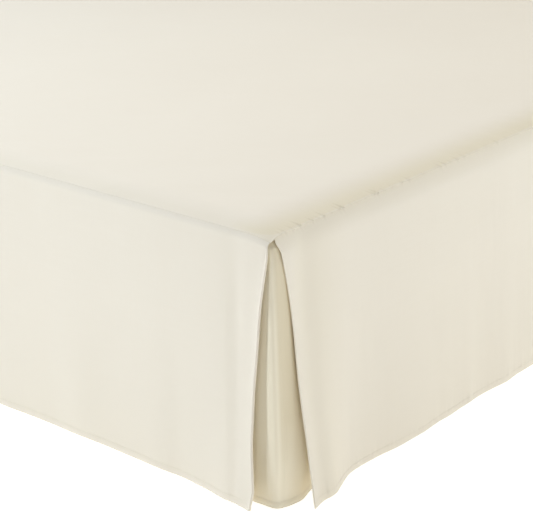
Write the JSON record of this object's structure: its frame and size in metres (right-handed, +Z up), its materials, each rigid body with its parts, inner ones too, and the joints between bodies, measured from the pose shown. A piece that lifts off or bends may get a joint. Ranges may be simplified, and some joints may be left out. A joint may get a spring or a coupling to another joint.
{
  "type": "bed skirt on a plain bed base",
  "caption": "Tailored bed skirt with a flat platform, straight drops and corner kick pleats, hung over a plain box spring base on short legs.",
  "frame": {"origin": "centre of the whole part's box, on the floor under the bed", "axes": "+X across the bed to its right side seen from the foot, +Y along the bed towards the head, +Z up"},
  "size_m": [1.606, 2.06, 0.422],
  "materials": {
    "platform_cloth": "smooth brushed ivory cloth",
    "drop_cloth": "smooth brushed ivory cloth",
    "insert_cloth": "smooth brushed ivory cloth",
    "ticking": "plain white woven ticking",
    "leg_wood": "pale satin beech"
  },
  "bodies": {
    "root": {"platform": "platform_cloth", "drop_foot": "drop_cloth", "drop_side_left": "drop_cloth", "drop_side_right": "drop_cloth", "pleat_insert_left": "insert_cloth", "pleat_insert_right": "insert_cloth", "box_spring": "ticking", "leg_1": "leg_wood", "leg_2": "leg_wood", "leg_3": "leg_wood", "leg_4": "leg_wood", "leg_5": "leg_wood", "leg_6": "leg_wood"}
  },
  "joints": []
}
